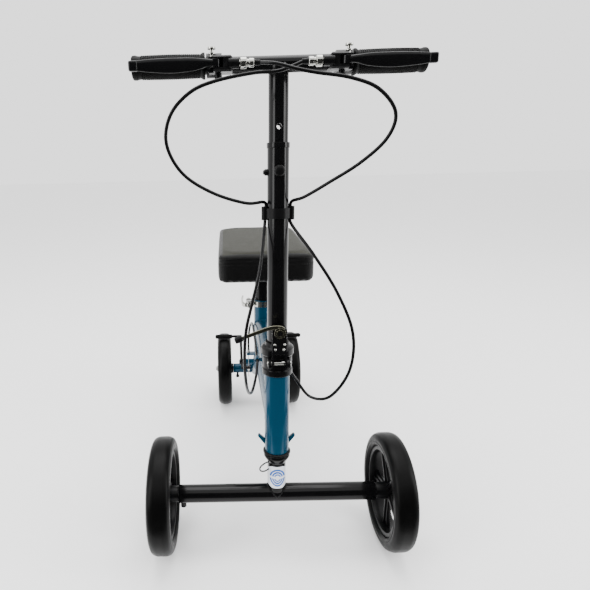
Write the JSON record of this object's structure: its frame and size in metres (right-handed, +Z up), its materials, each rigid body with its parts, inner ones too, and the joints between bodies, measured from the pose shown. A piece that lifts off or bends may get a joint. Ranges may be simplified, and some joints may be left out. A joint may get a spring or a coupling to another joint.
{
  "type": "knee scooter",
  "caption": "Steerable four-wheeled knee scooter with a padded knee rest, a folding and height-adjustable steering column, hand brake levers with cables and rear tyre brakes.",
  "frame": {"origin": "on the floor, under the middle of the whole scooter", "axes": "+Z up, the front with the handlebar faces -Y, +X on the right as seen from the front"},
  "size_m": [0.4336, 0.7234, 0.8064],
  "materials": {
    "teal_paint": "glossy metallic teal-blue paint",
    "black_paint": "glossy black powder coat",
    "black_casting": "satin black casting",
    "chrome": "bright chrome",
    "steel": "zinc-plated steel",
    "tyre_rubber": "smooth solid black tyre",
    "rim_plastic": "black moulded plastic",
    "grip_rubber": "matte black rubber",
    "pad_cover": "olive-grey vinyl over foam",
    "board_black": "black-stained board",
    "cable_jacket": "black cable housing",
    "black_plastic": "black moulded plastic",
    "badge_white": "plain pale badge"
  },
  "bodies": {
    "frame": {"head_tube": "teal_paint", "top_tube": "teal_paint", "lower_tube": "teal_paint", "seat_tube": "teal_paint", "rear_tube": "teal_paint", "rear_axle_tube": "teal_paint", "headset_cup_lower": "black_casting", "headset_cup_upper": "black_casting", "rear_axle_rod": "steel", "seat_clamp": "chrome", "seat_skewer": "steel", "cable_rear_left": "cable_jacket", "cable_rear_right": "cable_jacket"},
    "fork": {"fork_post": "black_paint", "front_axle_tube": "black_paint", "front_axle_rod": "steel", "fork_badge": "badge_white", "fold_base": "black_casting", "fold_hinge_pin": "steel", "catch_pin": "chrome", "cable_loop_left": "cable_jacket", "cable_loop_right": "cable_jacket"},
    "front_left_wheel": {"front_left_tyre": "tyre_rubber", "front_left_rim": "rim_plastic"},
    "front_right_wheel": {"front_right_tyre": "tyre_rubber", "front_right_rim": "rim_plastic"},
    "rear_left_wheel": {"rear_left_tyre": "tyre_rubber", "rear_left_rim": "rim_plastic"},
    "rear_right_wheel": {"rear_right_tyre": "tyre_rubber", "rear_right_rim": "rim_plastic"},
    "stem": {"stem_foot": "black_casting", "stem_tube": "black_paint", "cable_clip": "black_plastic"},
    "latch": {"latch_hook": "black_casting"},
    "fold_lever": {"fold_lever": "chrome", "fold_lever_tip": "black_plastic"},
    "height_knob": {"height_knob": "black_plastic"},
    "handlebar": {"handlebar_post": "black_paint", "crossbar": "black_paint", "grip_left": "grip_rubber", "lever_bracket_left": "black_casting", "grip_right": "grip_rubber", "lever_bracket_right": "black_casting", "cable_upper_left": "cable_jacket", "cable_upper_right": "cable_jacket"},
    "brake_lever_left": {"brake_lever_left": "black_casting"},
    "lock_pin_left": {"lock_pin_left": "chrome"},
    "cable_adjuster_left": {"cable_adjuster_left": "chrome"},
    "brake_lever_right": {"brake_lever_right": "black_casting"},
    "lock_pin_right": {"lock_pin_right": "chrome"},
    "cable_adjuster_right": {"cable_adjuster_right": "chrome"},
    "seat": {"seat_post": "black_paint", "seat_board": "board_black", "knee_pad": "pad_cover"},
    "seat_clamp_lever": {"seat_clamp_lever": "chrome"},
    "brake_arm_left": {"brake_arm_left": "black_casting", "brake_pad_left": "grip_rubber"},
    "brake_arm_right": {"brake_arm_right": "black_casting", "brake_pad_right": "grip_rubber"}
  },
  "joints": [
    {"name": "steering", "type": "hinge", "parent": "frame", "child": "fork", "pos_m": [0, -0.26325, 0.099], "axis": [0, 0.0436, 0.999], "range_deg": [-45, 45], "deforming": ["cable_loop_left", "cable_loop_right"]},
    {"name": "front_left_wheel_spin", "type": "hinge", "parent": "fork", "child": "front_left_wheel", "pos_m": [-0.1975, -0.26325, 0.099], "axis": [1, 0, 0], "continuous": true},
    {"name": "front_right_wheel_spin", "type": "hinge", "parent": "fork", "child": "front_right_wheel", "pos_m": [0.1975, -0.26325, 0.099], "axis": [1, 0, 0], "continuous": true},
    {"name": "rear_left_wheel_spin", "type": "hinge", "parent": "frame", "child": "rear_left_wheel", "pos_m": [-0.0898, 0.26475, 0.0975], "axis": [1, 0, 0], "continuous": true},
    {"name": "rear_right_wheel_spin", "type": "hinge", "parent": "frame", "child": "rear_right_wheel", "pos_m": [0.0898, 0.26475, 0.0975], "axis": [1, 0, 0], "continuous": true},
    {"name": "stem_fold", "type": "hinge", "parent": "fork", "child": "stem", "pos_m": [0, -0.22283, 0.35998], "axis": [-1, 0, 0], "range_deg": [0, 32], "deforming": ["cable_loop_left", "cable_loop_right"]},
    {"name": "latch_swing", "type": "hinge", "parent": "stem", "child": "latch", "pos_m": [0, -0.27542, 0.40482], "axis": [-1, 0, 0], "range_deg": [0, 65]},
    {"name": "fold_lever_turn", "type": "hinge", "parent": "latch", "child": "fold_lever", "pos_m": [0, -0.29032, 0.40747], "axis": [0, 0.999, -0.0436], "range_deg": [-55, 0]},
    {"name": "height_knob_turn", "type": "hinge", "parent": "stem", "child": "height_knob", "pos_m": [0, -0.25878, 0.64392], "axis": [0, 0.999, -0.0436], "continuous": true},
    {"name": "handlebar_height", "type": "slide", "parent": "stem", "child": "handlebar", "axis": [0, 0.0436, 0.999], "range_m": [-0.06, 0.12], "deforming": ["cable_upper_left", "cable_upper_right"]},
    {"name": "brake_lever_left_pull", "type": "hinge", "parent": "handlebar", "child": "brake_lever_left", "pos_m": [-0.088, -0.26341, 0.78316], "axis": [0, -0.0436, -0.999], "range_deg": [0, 14], "stiffness_Nm_per_rad": 0.4, "springref_deg": -8.59},
    {"name": "lock_pin_left_press", "type": "slide", "parent": "handlebar", "child": "lock_pin_left", "axis": [0, 0.0436, 0.999], "range_m": [-0.003, 0], "stiffness_N_per_m": 400, "springref_m": 0.002},
    {"name": "cable_adjuster_left_turn", "type": "hinge", "parent": "handlebar", "child": "cable_adjuster_left", "pos_m": [-0.045, -0.26641, 0.78329], "axis": [1, 0, 0], "continuous": true},
    {"name": "brake_lever_right_pull", "type": "hinge", "parent": "handlebar", "child": "brake_lever_right", "pos_m": [0.088, -0.26341, 0.78316], "axis": [0, 0.0436, 0.999], "range_deg": [0, 14], "stiffness_Nm_per_rad": 0.4, "springref_deg": -8.59},
    {"name": "lock_pin_right_press", "type": "slide", "parent": "handlebar", "child": "lock_pin_right", "axis": [0, 0.0436, 0.999], "range_m": [-0.003, 0], "stiffness_N_per_m": 400, "springref_m": 0.002},
    {"name": "cable_adjuster_right_turn", "type": "hinge", "parent": "handlebar", "child": "cable_adjuster_right", "pos_m": [0.045, -0.26641, 0.78329], "axis": [1, 0, 0], "continuous": true},
    {"name": "seat_height", "type": "slide", "parent": "frame", "child": "seat", "axis": [0, 0, 1], "range_m": [-0.045, 0.05]},
    {"name": "seat_clamp_lever_turn", "type": "hinge", "parent": "frame", "child": "seat_clamp_lever", "pos_m": [-0.0305, 0.05325, 0.347], "axis": [0, 0, 1], "range_deg": [0, 120]},
    {"name": "brake_arm_left_swing", "type": "hinge", "parent": "frame", "child": "brake_arm_left", "pos_m": [-0.0455, 0.19675, 0.1465], "axis": [-1, 0, 0], "range_deg": [0, 1.8], "deforming": ["cable_rear_left"]},
    {"name": "brake_arm_right_swing", "type": "hinge", "parent": "frame", "child": "brake_arm_right", "pos_m": [0.0455, 0.19675, 0.1465], "axis": [-1, 0, 0], "range_deg": [0, 1.8], "deforming": ["cable_rear_right"]}
  ],
  "couplings": [
    {"joint": "latch_swing", "follows": "stem_fold", "ratio": 2},
    {"joint": "brake_arm_left_swing", "follows": "brake_lever_left_pull", "ratio": 0.125},
    {"joint": "brake_arm_right_swing", "follows": "brake_lever_right_pull", "ratio": 0.125}
  ]
}
